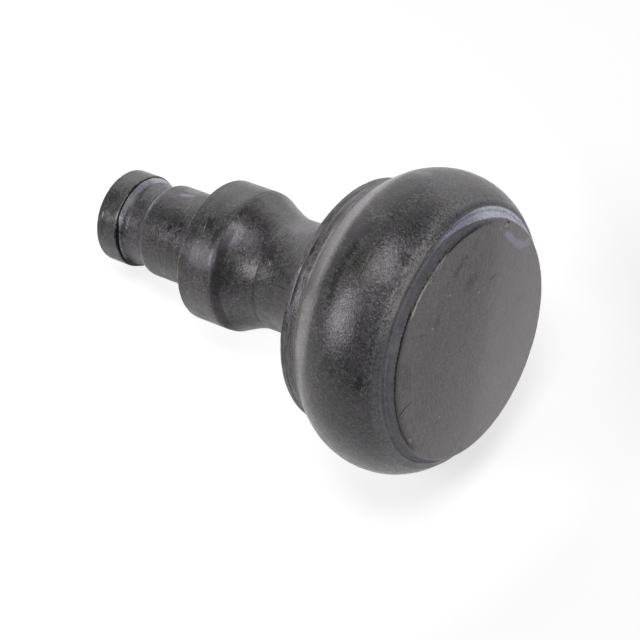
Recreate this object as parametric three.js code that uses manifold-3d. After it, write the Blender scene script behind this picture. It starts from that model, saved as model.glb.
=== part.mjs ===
// Curtain finial: a mushroom head on a waisted neck, with a collar and a round spigot that
// plugs into a hollow pole. It is turned from one piece of iron and waxed nearly black.
// It lies on its side, as a loose finial does: the big bead and the spigot's end touch the ground.
// All sizes are in millimetres.
import * as THREE from "three";
import { mergeVertices } from "three/addons/utils/BufferGeometryUtils.js";
import Module from "manifold-3d";

// Head
const headDiameter = 56; // across the big bead
const beadRound = 12.65; // radius of the bead's section
const beadSetBack = 11.2; // from the front face to the bead's widest line
const beadFrontAngle = 42; // degrees from the widest line to the bead's front end
const shoulderWidth = 1.4; // sloping step between the bead and the groove round the face
const shoulderDrop = 0.75; // how far that step falls back from the face's side to the bead's side
const grooveWidth = 0.6; // flat floor of the groove round the face
const rimDraft = 0.2; // the rim's foot is wider than its edge by this much on each side
const faceEdgeRound = 0.35;

// Flange behind the head
const flangeStep = 5; // how far the flange lies below the bead's widest line
const coveRise = 0.3; // how far the small hollow at the bead's foot climbs the bead
const flangeWidth = 1.42; // from that hollow to the turned line
const flangeLineDepth = 0.18; // turned line before the flange's back bead
const flangeLineWidth = 0.3;
const flangeBeadWidth = 0.55;
const flangeEdgeRound = 0.8;
const flangeBackWidth = 4.4; // nearly flat back of the flange, measured across the axis
const flangeBackSlope = 0.75; // how far that back leans along the axis

// Neck
const neckDiameter = 21.5; // at its narrowest
const neckLength = 13; // from the flange's back to the narrowest place
const neckLandLength = 1.9; // nearly parallel stretch up to the turned line
const neckLineDepth = 0.12;
const neckLineWidth = 0.4;
const swellLength = 7.55; // swelling from the turned line up to the collar
const swellStartSlope = 0.1; // steepness just behind the turned line
const swellSlope = 0.5; // steepness where the swelling meets the collar

// Collar, which butts against the end of the pole
const collarDiameter = 27.2;
const collarLength = 8.15;
const collarFrontLength = 1.2; // the collar's rounded front edge, which starts at a crisp crease
const collarFrontDrop = 0.25; // how far below the collar that crease lies
const collarFrontFullness = 0.75; // share of the edge's length over which it still rises
const collarBackRound = 0.25;

// Spigot, which slides into the pole
const spigotDiameter = 18;
const barrelLength = 12.6; // plain stretch behind the collar
const shoulderLength = 2.1; // rounded end of the plain stretch
const shoulderFullness = 0.25; // share of that end's length that stays near the full diameter
const undercutDepth = 1; // waist that the pole's screw bites into, below the spigot's surface
const undercutLength = 2.4; // its narrow stretch
const lipLength = 1.5; // flare at the end of the waist
const lipDrop = 0.3; // how far the lip stays below the spigot's surface
const slitWidth = 0.7; // narrow slot between the lip and the end disc
const slitDepth = 1.6; // below the spigot's surface
const discLength = 4.85;
const discFrontRound = 0.2;
const discBackRound = 0.25;

// Lying on its side
const restFlatDepth = 0.18; // filed off where it touches the ground, so that it can't roll

// Fineness
const sides = 72; // facets round the axis, a multiple of four
const beadFrontSteps = 7;
const beadBackSteps = 7;
const coveSteps = 3;
const edgeSteps = 2;
const neckSteps = 6;
const swellSteps = 6;

const radians = THREE.MathUtils.degToRad;
const degrees = THREE.MathUtils.radToDeg;
const headRadius = headDiameter / 2;
const neckRadius = neckDiameter / 2;
const collarRadius = collarDiameter / 2;
const spigotRadius = spigotDiameter / 2;
const flangeRadius = headRadius - flangeStep;
const beadCentre = new THREE.Vector2(headRadius - beadRound, beadSetBack);
const beadBackAngle = degrees(Math.acos((flangeRadius + coveRise - beadCentre.x) / beadRound));

// The outline holds points (radius, distance behind the face), from the middle of the face
// to the middle of the end.
const outline = [];

function lineTo(radius, depth) {
  outline.push(new THREE.Vector2(radius, depth));
}

function curveTo(curve, steps) {
  outline.push(...curve.getPoints(steps).slice(1));
}

function lastPoint() {
  return outline[outline.length - 1].clone();
}

// Rounds off the corner between the last point and the end.
function roundTo(corner, end, steps) {
  curveTo(new THREE.QuadraticBezierCurve(lastPoint(), corner, end), steps);
}

function beadPoint(turn) {
  const angle = radians(turn);
  return new THREE.Vector2(
    beadCentre.x + beadRound * Math.cos(angle),
    beadCentre.y + beadRound * Math.sin(angle),
  );
}

function drawHead() {
  const beadFront = beadPoint(-beadFrontAngle);
  const grooveOuter = beadFront.x - shoulderWidth;
  const rimFoot = grooveOuter - grooveWidth;
  const rimEdge = rimFoot - rimDraft;
  const grooveDepth = beadFront.y - shoulderDrop;
  lineTo(0, 0);
  lineTo(rimEdge - faceEdgeRound, 0);
  roundTo(new THREE.Vector2(rimEdge, 0), new THREE.Vector2(rimEdge, faceEdgeRound), edgeSteps);
  lineTo(rimFoot, grooveDepth);
  lineTo(grooveOuter, grooveDepth);
  for (let step = 0; step < beadFrontSteps; step += 1) {
    outline.push(beadPoint(-beadFrontAngle * (1 - step / beadFrontSteps)));
  }
  for (let step = 0; step <= beadBackSteps; step += 1) {
    outline.push(beadPoint(beadBackAngle * (step / beadBackSteps)));
  }
}

function drawFlange() {
  const beadFoot = lastPoint();
  const coveFall = coveRise / Math.tan(radians(beadBackAngle));
  const coveCorner = new THREE.Vector2(flangeRadius, beadFoot.y + coveFall);
  const coveEnd = new THREE.Vector2(flangeRadius, coveCorner.y + coveCorner.distanceTo(beadFoot));
  roundTo(coveCorner, coveEnd, coveSteps);
  const lineStart = coveEnd.y + flangeWidth;
  const lineEnd = lineStart + flangeLineWidth;
  lineTo(flangeRadius, lineStart);
  lineTo(flangeRadius - flangeLineDepth, lineStart + flangeLineWidth / 2);
  lineTo(flangeRadius, lineEnd);
  const roundStart = lineEnd + flangeBeadWidth;
  lineTo(flangeRadius, roundStart);
  const back = roundStart + flangeEdgeRound;
  roundTo(
    new THREE.Vector2(flangeRadius, back),
    new THREE.Vector2(flangeRadius - flangeEdgeRound, back),
    edgeSteps,
  );
  lineTo(flangeRadius - flangeEdgeRound - flangeBackWidth, back + flangeBackSlope);
}

function drawNeck() {
  const start = lastPoint();
  const narrowest = start.y + neckLength;
  const rise = start.x - neckRadius;
  for (let step = 1; step <= neckSteps; step += 1) {
    const angle = radians(90 * (step / neckSteps));
    lineTo(
      neckRadius + rise * (1 - Math.sin(angle)),
      narrowest - neckLength * Math.cos(angle),
    );
  }
  const lineStart = narrowest + neckLandLength;
  lineTo(neckRadius, lineStart);
  lineTo(neckRadius - neckLineDepth, lineStart + neckLineWidth / 2);
  lineTo(neckRadius, lineStart + neckLineWidth);
}

function drawCollar() {
  const start = lastPoint();
  const front = start.y + swellLength;
  const crease = new THREE.Vector2(collarRadius - collarFrontDrop, front);
  const reach = swellLength / 3;
  curveTo(
    new THREE.CubicBezierCurve(
      start,
      new THREE.Vector2(start.x + swellStartSlope * reach, start.y + reach),
      new THREE.Vector2(crease.x - swellSlope * reach, crease.y - reach),
      crease,
    ),
    swellSteps,
  );
  roundTo(
    new THREE.Vector2(collarRadius, front + collarFrontFullness * collarFrontLength),
    new THREE.Vector2(collarRadius, front + collarFrontLength),
    edgeSteps,
  );
  const back = front + collarLength;
  lineTo(collarRadius, back - collarBackRound);
  lineTo(collarRadius - collarBackRound, back);
}

function drawSpigot() {
  const undercutRadius = spigotRadius - undercutDepth;
  const shoulder = lastPoint().y;
  const barrelEnd = shoulder + barrelLength;
  const undercutStart = barrelEnd + shoulderLength;
  lineTo(spigotRadius, shoulder);
  lineTo(spigotRadius, barrelEnd);
  roundTo(
    new THREE.Vector2(spigotRadius, barrelEnd + shoulderFullness * shoulderLength),
    new THREE.Vector2(undercutRadius, undercutStart),
    edgeSteps,
  );
  const lipStart = undercutStart + undercutLength;
  const lipEnd = lipStart + lipLength;
  lineTo(undercutRadius, lipStart);
  roundTo(
    new THREE.Vector2(undercutRadius, (lipStart + lipEnd) / 2),
    new THREE.Vector2(spigotRadius - lipDrop, lipEnd),
    edgeSteps,
  );
  const discFront = lipEnd + slitWidth;
  lineTo(spigotRadius - slitDepth, lipEnd);
  lineTo(spigotRadius - slitDepth, discFront);
  lineTo(spigotRadius - discFrontRound, discFront);
  lineTo(spigotRadius, discFront + discFrontRound);
  const end = discFront + discLength;
  lineTo(spigotRadius, end - discBackRound);
  lineTo(spigotRadius - discBackRound, end);
  lineTo(0, end);
}

drawHead();
drawFlange();
drawNeck();
drawCollar();
drawSpigot();

// How far the axis tips, head up, when the bead and the first point behind it both touch the ground.
function restingTilt() {
  let tilt = Math.PI / 2;
  for (const point of outline) {
    const back = point.y - beadCentre.y;
    const out = point.x - beadCentre.x;
    const reach = Math.hypot(back, out);
    if (back > beadRound && reach > beadRound) {
      tilt = Math.min(tilt, Math.asin(beadRound / reach) - Math.atan2(out, back));
    }
  }
  return tilt;
}

// The lathe turns the outline round Y, with the face up, so depths become heights above the end.
function turnedBlank() {
  const length = lastPoint().y;
  const profile = outline.map((point) => new THREE.Vector2(point.x, length - point.y)).reverse();
  const blank = new THREE.LatheGeometry(profile, sides);
  blank.translate(0, -length, 0);
  return blank;
}

function solidFrom(wasm, geometry) {
  const bare = geometry.clone();
  bare.deleteAttribute("normal");
  bare.deleteAttribute("uv");
  const merged = mergeVertices(bare, 1e-4);
  return new wasm.Manifold(
    new wasm.Mesh({
      numProp: 3,
      vertProperties: merged.getAttribute("position").array,
      triVerts: new Uint32Array(merged.index.array),
    }),
  );
}

function geometryFrom(solid) {
  const mesh = solid.getMesh();
  const geometry = new THREE.BufferGeometry();
  geometry.setAttribute("position", new THREE.BufferAttribute(mesh.vertProperties, 3));
  geometry.setIndex(new THREE.BufferAttribute(mesh.triVerts, 1));
  const faceted = geometry.toNonIndexed();
  faceted.computeVertexNormals();
  return faceted;
}

// Lays the blank down along X, head towards +X, and files off what reaches below the ground.
function layDown(wasm, blank) {
  const tilt = restingTilt();
  const faceHeight = beadCentre.x * Math.cos(tilt) + beadCentre.y * Math.sin(tilt) + beadRound;
  blank.rotateZ(-Math.PI / 2);
  blank.rotateY(-tilt);
  blank.translate(0, 0, faceHeight - restFlatDepth);
  const span = 4 * lastPoint().y;
  const ground = new THREE.BoxGeometry(span, span, span);
  ground.translate(0, 0, -span / 2);
  const filed = geometryFrom(solidFrom(wasm, blank).subtract(solidFrom(wasm, ground)));
  filed.computeBoundingBox();
  const middle = filed.boundingBox.getCenter(new THREE.Vector3());
  filed.translate(-middle.x, -middle.y, 0);
  return filed;
}

const wasm = await Module();
wasm.setup();

const waxedIron = new THREE.MeshStandardMaterial({
  color: 0x3a3a3d,
  roughness: 0.5,
  metalness: 0.6,
});

const finial = new THREE.Mesh(layDown(wasm, turnedBlank()), waxedIron);
finial.name = "finial";

const part = new THREE.Group();
part.add(finial);

export default part;
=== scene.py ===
import math
import bpy
from mathutils import Matrix, Vector


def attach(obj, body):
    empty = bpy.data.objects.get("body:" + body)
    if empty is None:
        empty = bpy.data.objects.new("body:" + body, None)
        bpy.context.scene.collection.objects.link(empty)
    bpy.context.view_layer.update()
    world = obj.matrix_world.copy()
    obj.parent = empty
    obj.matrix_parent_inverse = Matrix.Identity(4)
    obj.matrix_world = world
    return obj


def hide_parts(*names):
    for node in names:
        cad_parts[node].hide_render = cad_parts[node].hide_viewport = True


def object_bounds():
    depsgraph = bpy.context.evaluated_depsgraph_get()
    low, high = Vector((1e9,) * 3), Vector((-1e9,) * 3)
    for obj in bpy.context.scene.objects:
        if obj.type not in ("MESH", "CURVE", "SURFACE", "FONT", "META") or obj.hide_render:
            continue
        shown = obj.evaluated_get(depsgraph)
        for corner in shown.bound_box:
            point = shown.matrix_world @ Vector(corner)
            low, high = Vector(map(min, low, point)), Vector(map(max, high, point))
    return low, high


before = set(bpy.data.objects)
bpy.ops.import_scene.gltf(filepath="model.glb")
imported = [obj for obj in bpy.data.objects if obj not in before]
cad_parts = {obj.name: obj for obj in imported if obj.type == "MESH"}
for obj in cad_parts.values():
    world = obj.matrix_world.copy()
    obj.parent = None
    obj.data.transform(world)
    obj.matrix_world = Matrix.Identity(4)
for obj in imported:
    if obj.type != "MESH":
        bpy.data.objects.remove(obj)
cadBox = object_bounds()
mm = 0.001
print("frame loaded, box", [round(side / mm, 2) for side in Vector(cadBox[1]) - Vector(cadBox[0])])


# small helpers for node trees

def addNode(tree, kind, **settings):
    node = tree.nodes.new(kind)
    for name, value in settings.items():
        setattr(node, name, value)
    return node


def feed(socket, value):
    if isinstance(value, bpy.types.NodeSocket):
        socket.id_data.links.new(value, socket)
    elif value is not None:
        socket.default_value = value


def treeOf(*values):
    # the tree of the first socket among the values
    return next(value.id_data for value in values if isinstance(value, bpy.types.NodeSocket))


def sums(operation, *values):
    node = addNode(treeOf(*values), "ShaderNodeMath", operation=operation)
    for socket, value in zip(node.inputs, values):
        feed(socket, value)
    return node.outputs[0]


def vectorSums(operation, first, second=None, scale=None):
    node = addNode(first.id_data, "ShaderNodeVectorMath", operation=operation)
    feed(node.inputs[0], first)
    feed(node.inputs[1], second)
    if scale is not None:
        feed(node.inputs["Scale"], scale)
    return node.outputs["Value" if operation in ("LENGTH", "DOT_PRODUCT") else "Vector"]


def product(*factors):
    total = factors[0]
    for factor in factors[1:]:
        total = sums("MULTIPLY", total, factor)
    return total


def strongest(*values):
    best = values[0]
    for value in values[1:]:
        best = sums("MAXIMUM", best, value)
    return best


def mixture(*weighted):
    # weighted sum of (value, weight) pairs
    total = 0.0
    for value, weight in weighted:
        total = sums("MULTIPLY_ADD", value, weight, total)
    return total


def fade(value, start, end, low=0.0, high=1.0):
    node = addNode(value.id_data, "ShaderNodeMapRange", interpolation_type="SMOOTHSTEP")
    for name, item in (("Value", value), ("From Min", start), ("From Max", end),
                       ("To Min", low), ("To Max", high)):
        feed(node.inputs[name], item)
    return node.outputs["Result"]


def band(value, middle, half, soft):
    away = sums("ABSOLUTE", sums("SUBTRACT", value, middle))
    return fade(away, half + soft, half)


def grain(place, scale, detail, roughness, seed, distortion=0.0):
    node = addNode(place.id_data, "ShaderNodeTexNoise", noise_dimensions="4D")
    for name, item in (("Vector", place), ("W", seed), ("Scale", scale), ("Detail", detail),
                       ("Roughness", roughness), ("Distortion", distortion)):
        feed(node.inputs[name], item)
    return node.outputs["Fac"]


def blend(share, first, second):
    node = addNode(share.id_data, "ShaderNodeMix", data_type="RGBA", blend_type="MIX")
    for name, item in (("Factor", share), ("A", first), ("B", second)):
        feed(node.inputs[name], (*item, 1.0) if isinstance(item, tuple) else item)
    return node.outputs["Result"]


# the turned outline, in millimetres: the solid's sizes, with its edges a little worn

turning = {
    # face, rim and groove
    "faceInside": 17.0,     # the face's skin is finer outside this radius
    "faceEdgeRound": 0.35, "faceEdgeWear": 0.4, "faceEdgeSag": 0.02,
    "rimDraft": 0.45, "rimFootFill": 0.55, "rimFootInset": 0.6, "rimFootSpread": 0.8,
    "grooveWidth": 0.6, "grooveEdge": (0.08, 0.04), "shoulderWidth": 1.4, "shoulderDrop": 0.75,
    # bead and flange
    "headAcross": 56.0, "beadRound": 12.65, "beadSetBack": 11.2, "beadFrontAngle": 42.0,
    "coveRise": 0.3, "flangeStep": 5.0, "flangeWidth": 1.42,
    "flangeLineDepth": 0.08, "flangeLineWidth": 0.3, "flangeBeadWidth": 0.55,
    "flangeEdgeRound": 0.8, "flangeBackWidth": 4.4, "flangeBackSlope": 0.75,
    # neck, swelling and collar
    "neckAcross": 21.5, "neckLength": 13.0, "neckLand": 1.9, "neckLineDepth": 0.03, "neckLineWidth": 0.4,
    "swellLength": 7.55, "swellStartSlope": 0.1, "swellSlope": 0.5,
    "collarAcross": 27.2, "collarLength": 8.15, "collarFront": 1.2, "collarFrontDrop": 0.1,
    "collarFrontFullness": 0.9, "collarBackRound": 0.25, "collarRim": 0.2,
    # spigot, lip, slit and end disc
    "spigotAcross": 18.0, "barrelLength": 12.6, "barrelEnd": 2.1, "barrelEndFullness": 0.25,
    "waistDepth": 1.0, "waistLength": 2.4, "lipLength": 1.5, "lipDrop": 0.3,
    "slitWidth": 0.7, "slitDepth": 1.6,
    "discLength": 4.85, "discFrontRound": 0.2, "discBackRound": 0.25, "discRim": 0.15,
    # how it is made and how it has worn
    "restFlat": 0.18,       # filed flat where it touches the ground
    "sides": 304,           # facets round the axis
    "hub": 10.0,            # radius of the circle the outline is swept round
    "weld": 0.002,          # points nearer than this become one
    "waxInSlit": 0.6,       # how far old wax closes the slit at the top
    "waxFrom": -42.0,       # turns between which it does, in degrees
    "waxTo": 115.0,
    "waxRunOut": 0.35,      # radians over which it thins out
    "unevenness": 0.05,     # how far the filed skin wanders inwards
    "unevennessSize": 5.0,
    "unevennessRange": (0.25, 0.75, 0.5, 1.5),   # the noise's ends, and how much of it counts at each
    "hollows": 0.035,       # small shallow hollows left by the hammer and the file
    "hollowSize": 1.3,
    "hollowRange": (0.5, 0.72),
    "grains": ((2.0, 0.5), (1.0, 0.5)),   # detail and roughness of the two
    "seed": 11,
    "sharpFrom": 50.0,      # degrees; sharper corners keep their edge
}


def turnedOutline(t):
    # radius and distance behind the face, from the middle of the face to the middle of the end;
    # the last number of each line or round is how many steps it is made in
    points = [(0.0, 0.0)]

    def lineTo(radius, depth, steps=1):
        last = points[-1]
        for step in range(1, steps + 1):
            share = step / steps
            points.append((last[0] + (radius - last[0]) * share, last[1] + (depth - last[1]) * share))

    def roundTo(corner, end, steps):
        start = points[-1]
        for step in range(1, steps + 1):
            s = step / steps
            points.append(tuple((1 - s) ** 2 * a + 2 * s * (1 - s) * c + s * s * e
                                for a, c, e in zip(start, corner, end)))

    headRadius = t["headAcross"] / 2
    flangeRadius = headRadius - t["flangeStep"]
    middle = (headRadius - t["beadRound"], t["beadSetBack"])

    def beadTo(start, end, steps):
        for step in range(1, steps + 1):
            angle = math.radians(start + (end - start) * step / steps)
            points.append((middle[0] + t["beadRound"] * math.cos(angle),
                           middle[1] + t["beadRound"] * math.sin(angle)))

    front = math.radians(t["beadFrontAngle"])
    beadFront = (middle[0] + t["beadRound"] * math.cos(front),
                 middle[1] - t["beadRound"] * math.sin(front))
    grooveOuter = beadFront[0] - t["shoulderWidth"]
    rimFoot = grooveOuter - t["grooveWidth"]
    rimEdge = rimFoot - t["rimDraft"]
    grooveDepth = beadFront[1] - t["shoulderDrop"]
    beforeEdge, afterEdge = t["grooveEdge"]
    lineTo(t["faceInside"], 0.0, 17)
    lineTo(rimEdge - t["faceEdgeWear"], 0.0, 18)
    roundTo((rimEdge, t["faceEdgeSag"]), (rimEdge, t["faceEdgeRound"]), 9)
    lineTo(rimFoot - t["rimFootInset"] * t["rimFootFill"] * t["rimDraft"], grooveDepth - t["rimFootFill"], 4)
    roundTo((rimFoot, grooveDepth), (rimFoot + t["rimFootSpread"] * t["rimFootFill"], grooveDepth), 4)
    lineTo(grooveOuter - beforeEdge, grooveDepth)
    lineTo(grooveOuter + afterEdge, grooveDepth + afterEdge)
    lineTo(beadFront[0], beadFront[1], 4)
    beadTo(-t["beadFrontAngle"], 0.0, 24)
    backAngle = math.degrees(math.acos((flangeRadius + t["coveRise"] - middle[0]) / t["beadRound"]))
    beadTo(0.0, backAngle, 28)
    foot = points[-1]
    corner = (flangeRadius, foot[1] + t["coveRise"] / math.tan(math.radians(backAngle)))
    roundTo(corner, (flangeRadius, corner[1] + math.dist(corner, foot)), 5)
    line = points[-1][1] + t["flangeWidth"]
    lineTo(flangeRadius, line, 5)
    lineTo(flangeRadius - t["flangeLineDepth"], line + t["flangeLineWidth"] / 2, 2)
    lineTo(flangeRadius, line + t["flangeLineWidth"], 2)
    roundStart = line + t["flangeLineWidth"] + t["flangeBeadWidth"]
    lineTo(flangeRadius, roundStart, 2)
    back = roundStart + t["flangeEdgeRound"]
    roundTo((flangeRadius, back), (flangeRadius - t["flangeEdgeRound"], back), 6)
    lineTo(flangeRadius - t["flangeEdgeRound"] - t["flangeBackWidth"], back + t["flangeBackSlope"], 8)

    neckRadius = t["neckAcross"] / 2
    neckStart = points[-1]
    narrowest = neckStart[1] + t["neckLength"]
    steps = 32
    for step in range(1, steps + 1):
        angle = math.pi / 2 * step / steps
        points.append((neckRadius + (neckStart[0] - neckRadius) * (1 - math.sin(angle)),
                       narrowest - t["neckLength"] * math.cos(angle)))
    line = narrowest + t["neckLand"]
    lineTo(neckRadius, line, 4)
    lineTo(neckRadius - t["neckLineDepth"], line + t["neckLineWidth"] / 2, 2)
    lineTo(neckRadius, line + t["neckLineWidth"], 2)

    collarRadius = t["collarAcross"] / 2
    swellStart = points[-1]
    collarStart = swellStart[1] + t["swellLength"]
    crease = (collarRadius - t["collarFrontDrop"], collarStart)
    reach = t["swellLength"] / 3
    handles = ((swellStart[0] + t["swellStartSlope"] * reach, swellStart[1] + reach),
               (crease[0] - t["swellSlope"] * reach, crease[1] - reach))
    steps = 20
    for step in range(1, steps + 1):
        s = step / steps
        weights = ((1 - s) ** 3, 3 * s * (1 - s) ** 2, 3 * s * s * (1 - s), s ** 3)
        points.append(tuple(sum(weight * part for weight, part in zip(weights, parts))
                            for parts in zip(swellStart, *handles, crease)))
    roundTo((collarRadius, collarStart + t["collarFrontFullness"] * t["collarFront"]),
            (collarRadius, collarStart + t["collarFront"]), 5)
    collarEnd = collarStart + t["collarLength"]
    lineTo(collarRadius, collarEnd - t["collarBackRound"] - t["collarRim"], 15)
    lineTo(collarRadius, collarEnd - t["collarBackRound"])
    lineTo(collarRadius - t["collarBackRound"], collarEnd)
    lineTo(collarRadius - t["collarBackRound"] - t["collarRim"], collarEnd)

    spigotRadius = t["spigotAcross"] / 2
    waistRadius = spigotRadius - t["waistDepth"]
    lineTo(spigotRadius, collarEnd, 8)
    barrelEnd = collarEnd + t["barrelLength"]
    lineTo(spigotRadius, barrelEnd, 28)
    waistStart = barrelEnd + t["barrelEnd"]
    roundTo((spigotRadius, barrelEnd + t["barrelEndFullness"] * t["barrelEnd"]),
            (waistRadius, waistStart), 8)
    lipStart = waistStart + t["waistLength"]
    lipEnd = lipStart + t["lipLength"]
    lineTo(waistRadius, lipStart, 6)
    roundTo((waistRadius, (lipStart + lipEnd) / 2), (spigotRadius - t["lipDrop"], lipEnd), 6)
    slitRadius = spigotRadius - t["slitDepth"]
    discFront = lipEnd + t["slitWidth"]
    lineTo(slitRadius, lipEnd, 4)
    lineTo(slitRadius, discFront, 3)
    lineTo(spigotRadius - t["discFrontRound"], discFront, 4)
    lineTo(spigotRadius, discFront + t["discFrontRound"])
    lineTo(spigotRadius, discFront + t["discFrontRound"] + t["discRim"])
    end = discFront + t["discLength"]
    lineTo(spigotRadius, end - t["discBackRound"] - t["discRim"], 10)
    lineTo(spigotRadius, end - t["discBackRound"])
    lineTo(spigotRadius - t["discBackRound"], end)
    lineTo(spigotRadius - t["discBackRound"] - t["discRim"], end)
    lineTo(0.0, end, 12)
    return points


def restingTilt(t, points):
    # how far the axis tips, head up, with the bead and the end disc both on the ground
    middle = (t["headAcross"] / 2 - t["beadRound"], t["beadSetBack"])
    tilt = math.pi / 2
    for radius, depth in points:
        back, out = depth - middle[1], radius - middle[0]
        reach = math.hypot(back, out)
        if back > t["beadRound"] and reach > t["beadRound"]:
            tilt = min(tilt, math.asin(t["beadRound"] / reach) - math.atan2(out, back))
    return tilt


outline = turnedOutline(turning)
tilt = restingTilt(turning, outline)
faceHeight = ((turning["headAcross"] / 2 - turning["beadRound"]) * math.cos(tilt)
              + turning["beadSetBack"] * math.sin(tilt) + turning["beadRound"] - turning["restFlat"])
foremost = max(radius * math.sin(tilt) - depth * math.cos(tilt) for radius, depth in outline)
faceMiddle = Vector((cadBox[1][0] - foremost * mm, 0.0, faceHeight * mm))
lean = math.pi / 2 - tilt   # turns the lathe's upright axis to the finial's
print("outline", len(outline), "points, tilt", round(math.degrees(tilt), 3), "face middle",
      [round(v / mm, 3) for v in faceMiddle])


def onFinial(turn, radius, depth):
    # turn in degrees from the top line towards the far side, then millimetres; gives lathe millimetres
    angle = math.radians(180.0 - turn)
    return Vector((radius * math.cos(angle), radius * math.sin(angle), -depth))


# the lathe: sweeps the outline round a circle, roughens the skin and lays the finial down

def latheTree(t):
    tree = bpy.data.node_groups.new("turnAndLayDown", "GeometryNodeTree")
    sockets = {}
    for name, kind in (("Outline", "Geometry"), ("Sides", "Int"), ("Hub", "Float"), ("Weld", "Float"),
                       ("Slit Start", "Float"), ("Slit End", "Float"), ("Wax In Slit", "Float"),
                       ("Wax Middle", "Float"), ("Wax Half", "Float"), ("Wax Run Out", "Float"),
                       ("Unevenness", "Float"), ("Unevenness Size", "Float"),
                       ("Hollows", "Float"), ("Hollow Size", "Float"), ("Seed", "Int"),
                       ("Lean", "Float"), ("Face Middle", "Vector"), ("Iron", "Material")):
        sockets[name] = tree.interface.new_socket(name=name, in_out="INPUT", socket_type="NodeSocket" + kind)
    tree.interface.new_socket(name="Finial", in_out="OUTPUT", socket_type="NodeSocketGeometry")
    given = addNode(tree, "NodeGroupInput").outputs

    def change(shape, kind, **inputs):
        node = addNode(tree, "GeometryNode" + kind)
        feed(node.inputs["Geometry"], shape)
        for name, value in inputs.items():
            feed(node.inputs[name], value)
        return node.outputs["Geometry"]

    def vector(**parts):
        node = addNode(tree, "ShaderNodeCombineXYZ")
        for name, value in parts.items():
            feed(node.inputs[name], value)
        return node.outputs[0]

    toCurve = addNode(tree, "GeometryNodeMeshToCurve")
    feed(toCurve.inputs["Mesh"], given["Outline"])
    circle = addNode(tree, "GeometryNodeCurvePrimitiveCircle")
    feed(circle.inputs["Resolution"], given["Sides"])
    feed(circle.inputs["Radius"], given["Hub"])
    sweep = addNode(tree, "GeometryNodeCurveToMesh")
    feed(sweep.inputs["Curve"], circle.outputs["Curve"])
    feed(sweep.inputs["Profile Curve"], toCurve.outputs["Curve"])
    shape = change(sweep.outputs["Mesh"], "MergeByDistance", Distance=given["Weld"])

    # the lip's wall of the slit moves towards the disc where old wax has closed it
    place = addNode(tree, "GeometryNodeInputPosition").outputs[0]
    lathe = addNode(tree, "ShaderNodeSeparateXYZ")
    feed(lathe.inputs[0], place)
    behind = product(lathe.outputs["Z"], -1.0)
    lipWall = sums("SUBTRACT", given["Slit Start"], 0.01 * mm)   # a hair before it, so that it counts too
    beyondLip = sums("GREATER_THAN", behind, lipWall)
    share = addNode(tree, "ShaderNodeMapRange")
    for name, item in (("Value", behind), ("From Min", given["Slit Start"]), ("From Max", given["Slit End"]),
                       ("To Min", 1.0), ("To Max", 0.0)):
        feed(share.inputs[name], item)
    turnedTo = sums("ARCTAN2", lathe.outputs["Y"], product(lathe.outputs["X"], -1.0))
    aside = sums("ABSOLUTE", sums("SUBTRACT", turnedTo, given["Wax Middle"]))
    atTop = fade(aside, sums("ADD", given["Wax Half"], given["Wax Run Out"]), given["Wax Half"])
    closed = product(atTop, given["Wax In Slit"], -1.0)
    moved = product(share.outputs["Result"], beyondLip, closed)
    shape = change(shape, "SetPosition", Offset=vector(Z=moved))

    # the skin only moves inwards, so the finial stays within its size
    waveGrain, pitGrain = t["grains"]
    waves = grain(place, sums("DIVIDE", 1.0, given["Unevenness Size"]), *waveGrain, given["Seed"])
    pits = grain(place, sums("DIVIDE", 1.0, given["Hollow Size"]), *pitGrain, sums("ADD", given["Seed"], 3.0))
    deep = product(fade(waves, *t["unevennessRange"]), given["Unevenness"])
    dug = product(fade(pits, *t["hollowRange"]), given["Hollows"])
    inwards = product(sums("ADD", deep, dug), -1.0)
    normal = addNode(tree, "GeometryNodeInputNormal").outputs[0]
    shape = change(shape, "SetPosition", Offset=vectorSums("SCALE", normal, scale=inwards))
    shape = change(shape, "Transform", Rotation=vector(Y=given["Lean"]), Translation=given["Face Middle"])

    # filed flat where it touches the ground
    apart = addNode(tree, "ShaderNodeSeparateXYZ")
    feed(apart.inputs[0], addNode(tree, "GeometryNodeInputPosition").outputs[0])
    aboveGround = sums("MAXIMUM", apart.outputs["Z"], 0.0)
    filed = vector(X=apart.outputs["X"], Y=apart.outputs["Y"], Z=aboveGround)
    shape = change(shape, "SetPosition", Position=filed)
    shape = change(change(shape, "RealizeInstances"), "SetMaterial", Material=given["Iron"])
    feed(addNode(tree, "NodeGroupOutput").inputs["Finial"], shape)
    return tree, sockets


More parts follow.
